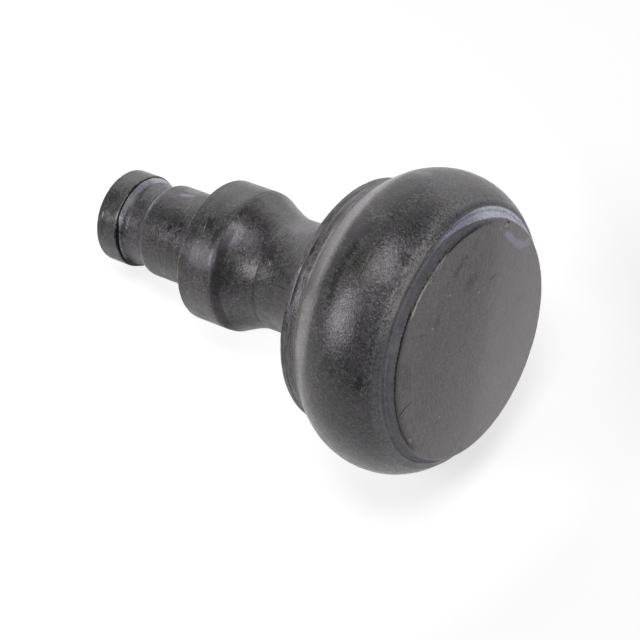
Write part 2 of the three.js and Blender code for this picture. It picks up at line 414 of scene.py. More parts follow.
def turnFinial(t, points, iron):
    wire = bpy.data.meshes.new("finialOutline")
    wire.from_pydata([((radius - t["hub"]) * mm, depth * mm, 0.0) for radius, depth in points],
                     [(i, i + 1) for i in range(len(points) - 1)], [])
    blank = bpy.data.objects.new("finialOutline", wire)
    bpy.context.scene.collection.objects.link(blank)
    tree, sockets = latheTree(t)
    lathe = blank.modifiers.new("lathe", "NODES")
    lathe.node_group = tree
    slitEnd = points[-1][1] - t["discLength"]
    for name, value in (("Sides", t["sides"]), ("Hub", t["hub"] * mm), ("Weld", t["weld"] * mm),
                        ("Slit Start", (slitEnd - t["slitWidth"]) * mm), ("Slit End", slitEnd * mm),
                        ("Wax In Slit", t["waxInSlit"] * mm),
                        ("Wax Middle", math.radians((t["waxFrom"] + t["waxTo"]) / 2)),
                        ("Wax Half", math.radians((t["waxTo"] - t["waxFrom"]) / 2)),
                        ("Wax Run Out", t["waxRunOut"]),
                        ("Unevenness", t["unevenness"] * mm), ("Unevenness Size", t["unevennessSize"] * mm),
                        ("Hollows", t["hollows"] * mm), ("Hollow Size", t["hollowSize"] * mm),
                        ("Seed", t["seed"]), ("Lean", lean), ("Face Middle", faceMiddle), ("Iron", iron)):
        lathe[sockets[name].identifier] = value
    evaluated = blank.evaluated_get(bpy.context.evaluated_depsgraph_get())
    mesh = bpy.data.meshes.new_from_object(evaluated)
    blank.modifiers.remove(lathe)
    bpy.data.objects.remove(blank)
    mesh.name = "finialTurned"
    piece = bpy.data.objects.new("finialTurned", mesh)
    bpy.context.scene.collection.objects.link(piece)
    return piece


# the finish: black iron, turned and filed, then waxed

finish = {
    "deepIron": (0.006, 0.006, 0.007),
    "iron": (0.025, 0.0225, 0.026),
    "oliveIron": (0.025, 0.025, 0.021),
    "brownIron": (0.048, 0.039, 0.036),
    "wornIron": (0.105, 0.099, 0.102),
    # the bead's worn tops by the shoulder, partly painted sheen
    "beadIron": (0.195, 0.19, 0.2),
    "faceIron": (0.205, 0.187, 0.190),
    # bare metal on chips and edges, and painted highlights
    "brightIronAndHighlight": (0.45, 0.43, 0.42),
    "haze": (0.105, 0.102, 0.120),
    "waxAndSheen": (0.33, 0.31, 0.38),
    # pale wax in the groove and on the lip, with painted light over it towards the upper far side
    "thickWaxAndSheen": (0.42, 0.43, 0.53),
    "waxHighlight": (0.85, 0.86, 0.95),
    # near black: soot, and painted shade
    "sootAndShade": (0.003, 0.0025, 0.003),
    "metallic": 0.2,
    "specular": 0.65,
    "sootAndShadeGloss": 0.45,              # shares of the gloss left on soot and painted shade, and on the underside
    "underGloss": 0.2,
    "specularTint": (1.0, 0.965, 1.01),
    "roughness": (0.22, 0.37),      # smoothest and dullest skin, then how much duller each mark is
    "duller": {"haze": 0.1, "waxAndSheen": 0.2, "thickWaxAndSheen": 0.3, "sootAndShade": 0.2, "face": 0.06, "rimSide": 0.3,
               "crease": 0.25, "chips": 0.1, "waist": 0.04},
    "pebbleHeight": 0.075,          # heights of the relief in millimetres
    "fineHeight": 0.045,
    "mottleHeight": 0.05,
    "ringHeight": 0.02,
    "chipHeight": 0.25,
    "chipLineHeight": 0.05,
    "sootAndShadeHeight": -0.03,
    "fileHeight": 0.02,
    "dentHeight": -0.12,
    "filedAt": 161.4,               # the file's way across the face, in degrees
    "fileMark": (2.2, 0.42, 1.0),   # length and width of its marks
}

# where the marks lie: millimetres behind the face or from the axis, and turns in degrees from the top line
# towards the far side

marks = {
    # noise on the skin: scale, detail, roughness, seed and, for one, distortion
    "grains": {
        "clouds": (0.10, 3.0, 0.6, 1.0),
        "drift": (0.15, 3.0, 0.6, 7.0),
        "mottle": (0.42, 4.0, 0.65, 2.0, 0.5),
        "pebble": (2.0, 3.0, 0.65, 3.0),
        "fine": (4.4, 1.0, 0.6, 4.0),
        "rings": (1.0, 3.0, 0.7),       # its seed runs with the place
        "drawn": (1.0, 3.0, 0.6, 9.0),
    },
    "ringScale": 3.4,               # turning lines to the millimetre, across them and along them
    "ringRun": 0.25,
    "fray": (2.0, 2.6, 1.6),        # how much the mottle, the pebble and the fine grain fray an edge
    "radiusFray": 0.22,
    "depthFray": 0.2,
    "radiusWander": 0.06,
    "depthWander": 0.05,
    "patchFray": 0.45,
    "noiseMiddle": 0.5,
    "tops": (0.5, 0.35, 0.15),      # shares of the fine grain, the pebble and the mottle in the skin's tops
    "dull": (0.5, 0.5),             # shares of the mottle and the pebble in its dullness
    # directions round the axis: shares of down and of the far side
    "ways": {"upperFarSide": (-0.342, 0.94), "lowerFar": (0.82, 0.57), "farSide": (0.5, 0.866)},
    # lines part of the way round: first and last turn, middle, half width, softness, degrees over which the
    # ends run out, strength
    "arcs": {
        # dark lines along the face's chipped edge: painted shadow under its worn burr
        "rimShadow": (-104, -34, 22.08, 0.07, 0.1, 4.0, 0.9),
        "topEdgeShadow": (1, 22, 21.5, 0.16, 0.24, 4.0, 0.9),
        "farEdgeShadow": (20, 34, 21.6, 0.08, 0.2, 4.0, 0.5),
        "nearFaceShade": (-106, -47, 22.6, 0.4, 2.0, 12.0, 0.6),
        "topFaceShade": (0, 26, 22.2, 0.4, 1.2, 10.0, 0.35),
        # painted highlight on the face's edge round
        "faceEdgeHighlight": (58, 112, 22.2, 0.12, 0.1, 10.0, 0.85),
        "chipped": (-40, 26, 21.95, 0.45, 0.2, 4.0, 1.0),
        "nearChips": (-33, -20, 21.42, 0.2, 0.12, 4.0, 1.0),
        "topChips": (-20, 0, 21.42, 0.17, 0.12, 4.0, 1.0),
        "chipPits": (-38, 2, 21.85, 0.15, 0.15, 4.0, 0.8),
        "waxLine": (-110, 64, 1.8, 0.07, 0.12, 12.0, 1.0),
        # painted shade in a fine turned line at the bead's foot
        "grooveLine": (14, 95, 24.15, 0.1, 0.15, 10.0, 0.2),
        # painted highlights on the groove's outer edge and along the shoulder
        "nearGrooveHighlight": (-95, -34, 23.42, 0.1, 0.2, 12.0, 0.15),
        "topGrooveHighlight": (-32, -14, 23.55, 0.35, 0.35, 12.0, 0.45),
        # footLine and nearFoot: painted highlights on the bead's back band; footShade: painted shade there
        "footLine": (-70, 36, 16.95, 0.2, 0.5, 12.0, 1.0),
        "footShade": (-36, -12, 18.0, 2.2, 1.0, 10.0, 0.08),
        "nearFoot": (-62, -44, 18.6, 2.4, 1.2, 9.0, 0.17),
        # painted shade in the flange's and the neck's turned lines, and before the collar's crease
        "flangeLine": (-42, -10, 23.1, 0.15, 0.2, 8.0, 0.45),
        "neckLine": (-116, -58, 40.6, 0.2, 0.5, 10.0, 0.45),
        "creaseShade": (-125, -20, 47.65, 0.6, 0.6, 8.0, 0.5),
        # painted shade on the lip, and the slit's painted shadow round below it
        "lipShade": (-32, -8, 74.5, 0.9, 0.3, 8.0, 0.22),
        "lipShadow": (-165, -110, 74.85, 0.3, 0.25, 12.0, 0.8),
    },
    # lines all the way round: middle, half width, softness
    "hoops": {
        "beadFoot": (18.2, 1.7, 1.5),
        "flange": (23.0, 1.4, 0.6),
        "creaseEdge": (48.7, 0.16, 0.14),
        "collarEdge": (56.2, 0.08, 0.1),
        "barrelEdgeHighlight": (69.85, 0.16, 0.22),
        "waist": (72.2, 2.4, 1.2),
        "discFront": (75.95, 0.03, 0.08),
        "discBack": (80.55, 0.05, 0.1),
    },
    # parts of the way round, in degrees: middle, half width, softness
    "sectors": {
        "beadWearAndSheen": (-18, 26, 34),
        "shoulderHighlightSector": (-20, 12, 22),
        "under": (-130, 18, 28),
        "upper": (8, 20, 50),
        "topShade": (10, 12, 14),
        "barrelEdgeHighlight": (30, 40, 30),
    },
    # gradual changes: where one starts and ends, then the share at each, from none to all if not given
    "ramps": {
        # by distance behind the face
        "face": (0.3, 0.05), "rimFront": (0.2, 0.5), "rimBack": (3.0, 2.6), "grooveBack": (2.6, 2.45),
        "shoulderBack": (4.0, 3.0), "beadWearAndSheenBack": (5.6, 2.9), "footFades": (17.4, 18.8, 1.0, 0.8),
        "behindBead": (15.5, 19.0), "underFront": (9.0, 17.0), "underBack": (80.4, 80.2),
        "topShadeFront": (50.0, 52.0), "pebbleFront": (8.0, 5.0, 1.0, 1.4),
        "pebbleBack": (14.0, 19.0, 1.0, 0.4),
        # by distance from the axis
        "faceOuter": (14.0, 21.0), "grooveFloor": (22.6, 22.8, 0.65, 1.0), "rimFoot": (23.6, 23.3),
        "shoulderInner": (23.2, 23.5), "shoulderOuter": (25.4, 24.6), "beadWearAndSheenInner": (23.4, 23.65),
        "creaseInside": (14.5, 14.0), "creaseOutside": (13.0, 13.2), "collarOutside": (13.1, 13.3),
        "discOutside": (8.5, 8.7),
        # by direction
        "upperFarSide": (0.0, 0.9), "waxHighlight": (0.86, 1.0), "lowerFar": (-12.0, 26.0),
        "farSide": (1.0, 9.0), "footWearAndSheen": (0.0, 1.0, 0.34, 0.72), "footSheen": (0.3, 1.0, 0.0, 0.45),
        "footLine": (0.0, 1.0, 0.07, 0.11),
        # by grain
        "rimMottle": (0.35, 0.6, 0.35, 0.8), "rimStreaks": (0.35, 0.65, 0.55, 1.15),
        "shoulderHaze": (0.4, 0.6, 0.25, 0.8), "waistHaze": (0.4, 0.6, 0.0, 0.3),
        "flangeHaze": (0.45, 0.62, 0.0, 0.6), "brokenWax": (0.42, 0.59, 0.5, 1.08),
        "edgeWear": (0.42, 0.6, 0.0, 0.3), "nearChips": (0.38, 0.46, 0.4, 1.0),
        "topChips": (0.51, 0.57), "chipPits": (0.52, 0.45), "olive": (0.4, 0.6),
        "brown": (0.52, 0.72, 0.0, 0.6), "hollows": (0.5, 0.40), "speckles": (0.51, 0.62),
        "speckleClouds": (0.4, 0.6, 0.5, 0.9), "turningLines": (0.5, 0.66),
        "faceTops": (0.38, 0.62, 0.08, 0.30), "faceFiled": (0.35, 0.65),
        "faceMottle": (0.38, 0.62, -0.5, 0.5), "footTops": (0.4, 0.6, 0.7, 1.3),
        "beadTops": (0.44, 0.56, 0.15, 0.8), "shoulderTops": (0.44, 0.56, 0.12, 0.7),
        "dullness": (0.38, 0.62),
    },
    # how strong the rest is
    "shares": {
        "topShade": 0.14, "under": 0.25, "creaseEdge": 0.3, "chipHaze": 0.5, "barrelHighlight": 0.42, "waxHighlight": 0.5,
        "linesBehind": 0.3, "linesOnFlange": 0.5, "farSide": 0.15,
        "faceFiled": 0.16, "faceLower": 0.72, "faceMottle": 0.05, "faceOuter": 0.07,
    },
    # wax in the groove: where it starts and how it creeps forwards and outwards towards the upper far side,
    # where it carries painted light
    "grooveWax": {"start": 2.0, "creep": -1.5, "soft": 0.12, "outer": (23.3, 0.6), "full": (23.15, 0.5)},
    # wax on the lip: degrees by which it stops short of the wax in the slit, then where it starts and ends
    "lipWax": {"short": 5.0, "runOut": 25.0, "start": 74.95, "startAtTop": -0.25, "startUpperFar": -0.35,
               "before": 0.2, "after": 0.1, "end": (75.25, 75.1)},
    # thickness of the wax: how much more towards the upper far side, where the extra is painted light, and
    # everywhere
    "waxAmounts": {"groove": (0.62, 0.47), "lip": (0.22, 0.3), "line": (0.5, 0.18)},
    "patchEdge": (0.3, 0.7),        # a patch's soft edge, how far it frays, and how far out it reaches
    "patchBreak": 0.5,
    "patchReach": 2.0,
}

# patches, each at its place: turn, radius and distance behind the face, then half sizes out from the axis,
# round it and along it, slant in degrees, and strength

sootDaubs = (
    # bead
    (-66, 26.3, 4.8, 1.5, 1.6, 0.6, 0, 0.6),
    (-61, 28.0, 10.3, 1.5, 2.2, 1.7, 0, 0.35),
    (-20.5, 28.0, 12.4, 1.5, 2.4, 0.8, 0, 0.85),
    (-31, 27.9, 12.9, 1.5, 5.2, 1.0, 0, 0.75),
    (-25, 27.8, 14.3, 1.5, 6.0, 1.8, 0, 0.5),
    (-12, 27.9, 12.6, 1.5, 3.4, 2.2, 0, 0.45),
    (8, 27.8, 11.6, 2.0, 6.5, 4.0, 0, 0.42),
    (-14, 25.6, 3.9, 1.5, 1.5, 0.6, 0, 0.5),
    (-82, 24.6, 19.6, 2.5, 5.5, 1.6, 0, 0.5),
    (-30.3, 26.1, 4.6, 1.5, 1.4, 1.2, 0, 0.35),
    (-37.8, 25.7, 3.9, 1.5, 2.4, 0.9, 0, 0.15),
    (-12, 27.6, 14.6, 1.5, 4.6, 1.6, 0, 0.5),
    # flange
    (-21.2, 23.0, 22.95, 0.6, 1.5, 0.3, 0, 0.9),
    # crease, swelling and neck
    (-71, 13.2, 47.5, 1.0, 1.3, 0.5, 0, 0.7),
    (-52, 13.0, 45.6, 1.5, 5.0, 2.0, 0, 0.4),
    (-23, 11.0, 39.6, 1.5, 2.2, 2.2, 0, 0.45),
    (-20, 11.2, 43.5, 1.5, 2.0, 2.0, 0, 0.25),
    # collar
    (-21, 13.6, 52.2, 1.0, 1.7, 1.2, 0, 0.75),
    (-29.5, 13.6, 54.5, 1.0, 0.9, 0.7, 0, 0.45),
    (-27.7, 13.6, 49.7, 1.0, 2.3, 0.8, 0, 0.5),
    (-22, 13.6, 51.0, 1.0, 3.0, 2.6, 0, 0.3),
    # barrel
    (-32.2, 9.0, 63.6, 1.0, 0.85, 0.55, 0, 0.9),
    (-28.5, 9.0, 62.4, 1.0, 1.0, 0.5, 0, 0.55),
    (-26.0, 9.0, 61.3, 1.0, 0.65, 0.5, 0, 0.9),
    (-32.6, 9.0, 61.1, 1.0, 0.55, 0.4, 0, 0.75),
    (-19, 9.0, 64.6, 1.0, 1.9, 4.2, 0, 0.4),
    # waist and end disc
    (-15, 8.2, 72.0, 1.0, 1.5, 1.4, 0, 0.4),
    (-22, 9.0, 78.2, 1.0, 1.6, 1.4, 0, 0.45),
    # face
    (19.6, 11.8, 0.0, 1.3, 1.9, 0.9, 20, 0.35),
    (52.5, 11.7, 0.0, 0.28, 1.0, 0.9, 40, 0.45),
    (5, 16.3, 0.0, 0.6, 1.9, 1.0, 20, 0.4),
    (12, 17.4, 0.0, 0.45, 1.5, 1.0, -20, 0.32),
    (-84.4, 20.8, 0.0, 0.8, 0.16, 1.0, 4, 1.0),
    (-83.6, 19.2, 0.0, 1.3, 0.12, 1.0, -2, 0.8),
    (-86.5, 20.6, 0.0, 0.7, 0.12, 1.0, 30, 0.6),
    (-67, 19.4, 0.0, 1.7, 3.2, 1.0, 0, 0.25),
    (-31, 13.0, 0.0, 0.9, 1.4, 1.0, 0, 0.25),
    (-43, 16.5, 0.0, 1.9, 0.16, 1.0, 12, 0.35),
    (50.0, 21.7, 0.0, 0.16, 0.5, 1.0, 0, 0.9),
    (46.9, 21.35, 0.0, 0.3, 0.14, 1.0, 0, 0.6),
)
rubbedDaubs = (
    # collar, neck and flange
    (-23.4, 13.6, 52.8, 0.6, 0.95, 0.15, 8, 0.6),
    (-32.3, 10.8, 38.4, 0.6, 0.5, 0.1, 30, 0.6),
    (-32.3, 23.0, 23.6, 0.4, 0.7, 0.1, 0, 0.8),
    # end disc
    (-40.5, 9.0, 76.1, 0.5, 1.1, 0.2, 0, 0.35),
    (-45.9, 9.0, 79.4, 0.5, 0.5, 0.14, 0, 0.6),
    (-47.7, 9.0, 77.8, 0.5, 0.9, 0.7, 0, 0.12),
    # face
    (34.5, 8.9, 0.0, 0.14, 0.2, 0.5, 0, 0.6),
    (-8.5, 13.4, 0.0, 0.12, 0.25, 0.5, 0, 0.6),
    (-37, 13.6, 0.0, 0.4, 0.1, 0.5, 10, 0.6),
    (-121.8, 14.5, 0.0, 0.14, 0.2, 0.5, 0, 0.6),
    (-104.0, 21.3, 0.0, 0.2, 0.5, 0.5, 0, 0.7),
    (44.4, 20.4, 0.0, 0.3, 0.12, 0.5, 0, 0.6),
    (-85.2, 20.3, 0.0, 0.8, 0.1, 0.5, 4, 0.4),
    # bead
    (26, 27.6, 13.0, 1.0, 1.3, 1.8, 0, 0.12),
    # the face's chipped edge
    (49.8, 21.2, 0.0, 0.15, 0.3, 0.5, 0, 0.6),
    (-1.8, 21.5, 0.0, 0.11, 0.5, 0.5, 14, 0.8),
    (-4.6, 21.2, 0.0, 0.11, 0.5, 0.5, 10, 0.8),
    (-8.0, 21.3, 0.0, 0.12, 0.6, 0.5, 12, 0.9),
    (-6.4, 20.6, 0.0, 0.09, 0.4, 0.5, 16, 0.6),
    (-16, 20.8, 0.0, 0.1, 0.4, 0.5, 8, 0.5),
    # groove: painted highlight on the shoulder beside it
    (-15.5, 23.9, 2.2, 0.7, 1.6, 0.6, 0, 0.2),
    (-23, 23.9, 2.3, 0.7, 2.6, 0.5, 0, 0.12),
    # face, beside the dent
    (48.6, 20.9, 0.0, 0.1, 0.45, 0.5, 0, 0.5),
)
waxAndSheenDaubs = (
    # a smear of wax on the face
    (56.5, 19.35, 0.0, 0.62, 2.2, 0.8, -8, 0.85),
    (62.4, 19.2, 0.0, 0.62, 1.6, 0.8, 4, 0.95),
    (68.2, 19.5, 0.0, 0.75, 2.1, 0.8, 16, 1.0),
    (73.5, 20.8, 0.0, 0.75, 1.7, 0.8, 57, 0.9),
    # barrel
    (18.5, 9.0, 64.8, 1.0, 0.6, 1.4, 20, 0.5),
    (31, 9.0, 65.0, 1.0, 0.7, 1.8, 0, 0.4),
    # bead and collar: faint wax haze where the highlights fall, a painted sheen
    (-43.0, 27.4, 8.4, 2.0, 5.5, 3.2, 0, 0.08),
    (-45.0, 13.6, 51.4, 1.0, 2.8, 3.0, 0, 0.17),
    (-30, 26.0, 4.6, 1.5, 8.0, 1.4, 0, 0.10),
    # swelling, bead and neck: faint wax haze where the highlights fall, a painted sheen
    (-20, 12.6, 47.0, 1.0, 2.6, 1.2, 0, 0.10),
    (-50, 26.6, 5.4, 1.8, 4.5, 1.6, 0, 0.07),
    (24, 11.4, 37.0, 1.6, 4.0, 2.8, 0, 0.2),
)
dents = (
    (49.9, 21.35, 0.0, 0.26, 0.44, 1.0, 0, 1.0),
)


def daubs(spot, ragged, m, places):
    # soft-edged patches, each an ellipsoid round its place on the skin
    together = None
    fray = product(ragged, m["patchBreak"])
    for turn, radius, depth, out, around, along, slant, strength in places:
        shift = addNode(spot.id_data, "ShaderNodeMapping", vector_type="TEXTURE")
        feed(shift.inputs["Vector"], spot)
        tip, spin = (0.0, slant) if depth == 0.0 else (slant, 0.0)
        shift.inputs["Location"].default_value = onFinial(turn, radius, depth)
        shift.inputs["Rotation"].default_value = (math.radians(tip), 0.0, math.radians(180.0 - turn + spin))
        shift.inputs["Scale"].default_value = Vector((out, around, along)) * m["patchReach"]
        near = addNode(spot.id_data, "ShaderNodeTexGradient", gradient_type="SPHERICAL")
        feed(near.inputs["Vector"], shift.outputs["Vector"])
        frayed = sums("SUBTRACT", near.outputs["Fac"], fray)
        patch = fade(frayed, *m["patchEdge"], 0.0, strength)
        together = patch if together is None else sums("MAXIMUM", together, patch)
    return together


def waxedIron(f, m, t):
    iron = bpy.data.materials.new("waxedIron")
    iron.use_nodes = True
    tree = iron.node_tree
    shader = tree.nodes["Principled BSDF"]
    toLathe = addNode(tree, "ShaderNodeMapping", vector_type="TEXTURE")
    feed(toLathe.inputs["Vector"], addNode(tree, "ShaderNodeTexCoord").outputs["Object"])
    toLathe.inputs["Location"].default_value = faceMiddle
    toLathe.inputs["Rotation"].default_value = (0.0, lean, 0.0)
    toLathe.inputs["Scale"].default_value = (mm, mm, mm)
    spot = toLathe.outputs["Vector"]
    apart = addNode(tree, "ShaderNodeSeparateXYZ")
    feed(apart.inputs[0], spot)
    across, aside, height = apart.outputs
    depth = product(height, -1.0)
    radius = sums("SQRT", mixture((product(across, across), 1.0), (product(aside, aside), 1.0)))
    turned = sums("ARCTAN2", aside, product(across, -1.0))
    shares = m["shares"]

    def ramp(name, value):
        return fade(value, *m["ramps"][name])

    def hoop(name, value):
        return band(value, *m["hoops"][name])

    def sector(name):
        return band(turned, *(math.radians(part) for part in m["sectors"][name]))

    def arc(name, value):
        first, last, middle, half, soft, runOut, strength = m["arcs"][name]
        turns = band(turned, math.radians((first + last) / 2), math.radians((last - first) / 2),
                     math.radians(runOut))
        line = product(turns, band(value, middle, half, soft))
        return product(line, strength) if strength < 1.0 else line

    def towards(name):
        down, far = m["ways"][name]
        return mixture((across, down), (aside, far))

    # grain of the skin, coarse to fine, and the turning lines round the axis
    clouds, drift, mottle, pebble, fine = (grain(spot, *m["grains"][name])
                                           for name in ("clouds", "drift", "mottle", "pebble", "fine"))
    ringPlace = addNode(tree, "ShaderNodeCombineXYZ")
    feed(ringPlace.inputs[0], product(depth, m["ringScale"]))
    feed(ringPlace.inputs[1], product(radius, m["ringScale"]))
    feed(ringPlace.inputs[2], product(across, m["ringRun"]))
    rings = grain(ringPlace.outputs[0], *m["grains"]["rings"], product(aside, m["ringRun"]))
    ragged = mixture(*((sums("SUBTRACT", noise, m["noiseMiddle"]), weight)
                       for noise, weight in zip((mottle, pebble, fine), m["fray"])))
    frayedRadius = mixture((radius, 1.0), (ragged, m["radiusFray"]))
    frayedDepth = mixture((depth, 1.0), (ragged, m["depthFray"]))
    evenDepth = mixture((depth, 1.0), (ragged, m["depthWander"]))
    evenRadius = mixture((radius, 1.0), (ragged, m["radiusWander"]))
    soft = product(ragged, m["patchFray"])
    tops = mixture(*zip((fine, pebble, mottle), m["tops"]))
    # the file was drawn one way across the face
    drawPlace = addNode(tree, "ShaderNodeMapping", vector_type="TEXTURE")
    feed(drawPlace.inputs["Vector"], spot)
    drawPlace.inputs["Rotation"].default_value = (0.0, 0.0, math.radians(f["filedAt"]))
    drawPlace.inputs["Scale"].default_value = f["fileMark"]
    drawn = grain(drawPlace.outputs["Vector"], *m["grains"]["drawn"])

    # the finial's parts
    onFace = ramp("face", depth)
    rimSide = product(ramp("rimFront", depth), ramp("rimFoot", radius), ramp("rimBack", depth))
    shoulder = product(ramp("shoulderInner", radius), ramp("shoulderOuter", radius),
                       ramp("shoulderBack", depth))
    beadFoot = product(hoop("beadFoot", depth), ramp("footFades", depth))
    behindBead = ramp("behindBead", depth)
    flange = hoop("flange", depth)
    waist = hoop("waist", depth)
    upper = sector("upper")
    # the underside, painted darker and less glossy: painted shade
    under = product(sector("under"), ramp("underFront", depth), ramp("underBack", depth))

    # towards the upper far side, where the light falls, the wax in the groove and on the lip is painted
    # thicker and paler: the wax's own colour with painted light on it
    upperFarSide = ramp("upperFarSide", sums("DIVIDE", towards("upperFarSide"), radius))

    def waxAmount(name):
        return sums("MULTIPLY_ADD", upperFarSide, *m["waxAmounts"][name])

    creep = product(upperFarSide, upperFarSide)
    g = m["grooveWax"]
    waxStart = sums("MULTIPLY_ADD", creep, g["creep"], g["start"])
    outer, full = (sums("MULTIPLY_ADD", creep, more, least) for least, more in (g["outer"], g["full"]))
    groove = product(fade(evenDepth, sums("SUBTRACT", waxStart, g["soft"]), sums("ADD", waxStart, g["soft"])),
                     ramp("grooveBack", evenDepth), fade(evenRadius, outer, full))
    lip = m["lipWax"]
    atTop = band(turned, math.radians((t["waxFrom"] + t["waxTo"]) / 2),
                 math.radians((t["waxTo"] - t["waxFrom"]) / 2 - lip["short"]), math.radians(lip["runOut"]))
    lipStart = mixture((atTop, lip["startAtTop"]), (upperFarSide, lip["startUpperFar"]), (1.0, lip["start"]))
    lipEnd = (sums("MULTIPLY_ADD", atTop, t["waxInSlit"], end) for end in lip["end"])
    onLip = product(fade(evenDepth, sums("SUBTRACT", lipStart, lip["before"]),
                         sums("ADD", lipStart, lip["after"])), fade(depth, *lipEnd))
    # painted highlight along the top of the barrel's rounded end
    barrelEdgeHighlight = product(hoop("barrelEdgeHighlight", evenDepth), sector("barrelEdgeHighlight"))
    # pale wax, with painted light towards the upper far side and the barrel's painted highlight
    waxFillAndSheen = strongest(product(groove, ramp("grooveFloor", radius), waxAmount("groove")),
                      product(onLip, waxAmount("lip")),
                      product(barrelEdgeHighlight, shares["barrelHighlight"]),
                      product(arc("waxLine", depth), waxAmount("line")))
    waxFillAndSheen = product(waxFillAndSheen, ramp("brokenWax", tops))
    # smears and scratches of wax, and faint painted sheen where the highlights fall
    waxAndSheen = daubs(spot, soft, m, waxAndSheenDaubs)

    # soot, and painted shade: in the corners and turned lines, along the face's chipped edge, in the crease,
    # under the lip, near the face's edge, on the top of the collar and barrel, and on the underside
    faceShade = product(onFace, strongest(arc("nearFaceShade", radius), arc("topFaceShade", radius)))
    topShade = product(sector("topShade"), ramp("topShadeFront", depth), shares["topShade"])
    sootAndShade = strongest(daubs(spot, ragged, m, sootDaubs),
                     arc("rimShadow", evenRadius), arc("topEdgeShadow", evenRadius), arc("farEdgeShadow", evenRadius),
                     arc("grooveLine", evenRadius),
                     product(arc("chipPits", frayedRadius), ramp("chipPits", pebble)),
                     arc("neckLine", frayedDepth), arc("flangeLine", depth),
                     product(arc("creaseShade", frayedDepth), ramp("creaseInside", radius)),
                     arc("lipShadow", frayedDepth), faceShade, topShade, arc("lipShade", depth),
                     arc("footShade", depth), product(under, shares["under"]))

    # bright metal on chips and on worn edges, with painted highlights on the face's edge round and along the
    # groove's edges
    chipLine = strongest(product(arc("nearChips", frayedRadius), ramp("nearChips", pebble)),
                         product(arc("topChips", frayedRadius), ramp("topChips", pebble)))
    creaseEdge = product(hoop("creaseEdge", frayedDepth), ramp("creaseOutside", radius))
    edges = strongest(product(hoop("collarEdge", evenDepth), ramp("collarOutside", radius)),
                      product(creaseEdge, shares["creaseEdge"]),
                      hoop("discFront", evenDepth),
                      product(hoop("discBack", evenDepth), ramp("discOutside", radius)))
    rubbedAndHighlights = strongest(daubs(spot, ragged, m, rubbedDaubs), chipLine, arc("faceEdgeHighlight", radius),
                       arc("nearGrooveHighlight", evenRadius), arc("topGrooveHighlight", evenRadius),
                       product(edges, ramp("edgeWear", mottle)))

    # a thin grey haze of old wax
    chipped = arc("chipped", frayedRadius)
    haze = strongest(product(rimSide, ramp("rimMottle", mottle), ramp("rimStreaks", rings)),
                     product(chipped, onFace, shares["chipHaze"]),
                     product(shoulder, ramp("shoulderHaze", pebble)),
                     product(waist, ramp("waistHaze", pebble)),
                     product(flange, ramp("flangeHaze", rings)))

    # colour, layer on layer: darkest in the hollows of the grain and worn on its tops
    lined = strongest(product(behindBead, shares["linesBehind"]), product(flange, shares["linesOnFlange"]))
    # the face is painted lighter towards its lower far side and towards its edge: painted light
    faceShare = mixture((ramp("faceTops", tops), 1.0), (ramp("faceFiled", drawn), shares["faceFiled"]),
                        (ramp("lowerFar", towards("lowerFar")), shares["faceLower"]),
                        (ramp("faceMottle", mottle), shares["faceMottle"]),
                        (ramp("faceOuter", radius), shares["faceOuter"]))
    # the face's far side painted lighter: painted light
    farFacePaintedLight = product(onFace, ramp("farSide", towards("farSide")), shares["farSide"])
    footTops = ramp("footTops", tops)
    # the bead's back band: worn tops, with painted sheen growing towards the upper side, and painted
    # highlights along it
    footHighlight = strongest(product(arc("footLine", depth), ramp("footLine", upper)), arc("nearFoot", depth))
    # the bead's tops by the shoulder: wear, and painted sheen
    beadWearAndSheen = product(ramp("beadWearAndSheenInner", radius), ramp("beadWearAndSheenBack", depth), sector("beadWearAndSheen"))
    # a painted highlight along the shoulder
    shoulderHighlight = product(shoulder, sector("shoulderHighlightSector"), ramp("shoulderTops", tops))
    colour = blend(ramp("olive", drift), f["oliveIron"], f["iron"])
    for share, paint in ((ramp("brown", clouds), "brownIron"),
                         (ramp("hollows", tops), "deepIron"),
                         (product(ramp("speckles", tops), ramp("speckleClouds", clouds)), "wornIron"),
                         (product(ramp("turningLines", rings), lined), "wornIron"),
                         (product(onFace, faceShare), "faceIron"),
                         (farFacePaintedLight, "brightIronAndHighlight"),
                         (product(beadFoot, ramp("footWearAndSheen", upper), footTops), "wornIron"),
                         (product(beadFoot, ramp("footSheen", upper)), "faceIron"),
                         (product(footHighlight, footTops), "brightIronAndHighlight"),
                         (product(beadWearAndSheen, ramp("beadTops", tops)), "beadIron"),
                         (haze, "haze"),
                         (shoulderHighlight, "brightIronAndHighlight"),
                         (waxAndSheen, "waxAndSheen"),
                         (waxFillAndSheen, "thickWaxAndSheen"),
                         (product(waxFillAndSheen, ramp("waxHighlight", upperFarSide), shares["waxHighlight"]), "waxHighlight"),
                         (rubbedAndHighlights, "brightIronAndHighlight"),
                         (sootAndShade, "sootAndShade")):
        colour = blend(share, colour, f[paint])
    feed(shader.inputs["Base Color"], colour)

    # roughness: the waxed skin is smooth, wax bloom, soot and painted shade are dull
    duller = f["duller"]
    rough = fade(mixture(*zip((mottle, pebble), m["dull"])), *m["ramps"]["dullness"], *f["roughness"])
    rough = mixture((rough, 1.0), (haze, duller["haze"]), (waxAndSheen, duller["waxAndSheen"]),
                    (waxFillAndSheen, duller["thickWaxAndSheen"]), (sootAndShade, duller["sootAndShade"]), (onFace, duller["face"]),
                    (rimSide, duller["rimSide"]), (creaseEdge, duller["crease"]),
                    (chipped, duller["chips"]), (waist, duller["waist"]))
    feed(shader.inputs["Roughness"], rough)
    shader.inputs["Metallic"].default_value = f["metallic"]
    gloss = fade(sootAndShade, 0.0, 1.0, f["specular"], f["specular"] * f["sootAndShadeGloss"])
    gloss = product(gloss, sums("MULTIPLY_ADD", under, f["underGloss"] - 1.0, 1.0))
    feed(shader.inputs["Specular IOR Level"], gloss)
    shader.inputs["Specular Tint"].default_value = (*f["specularTint"], 1.0)

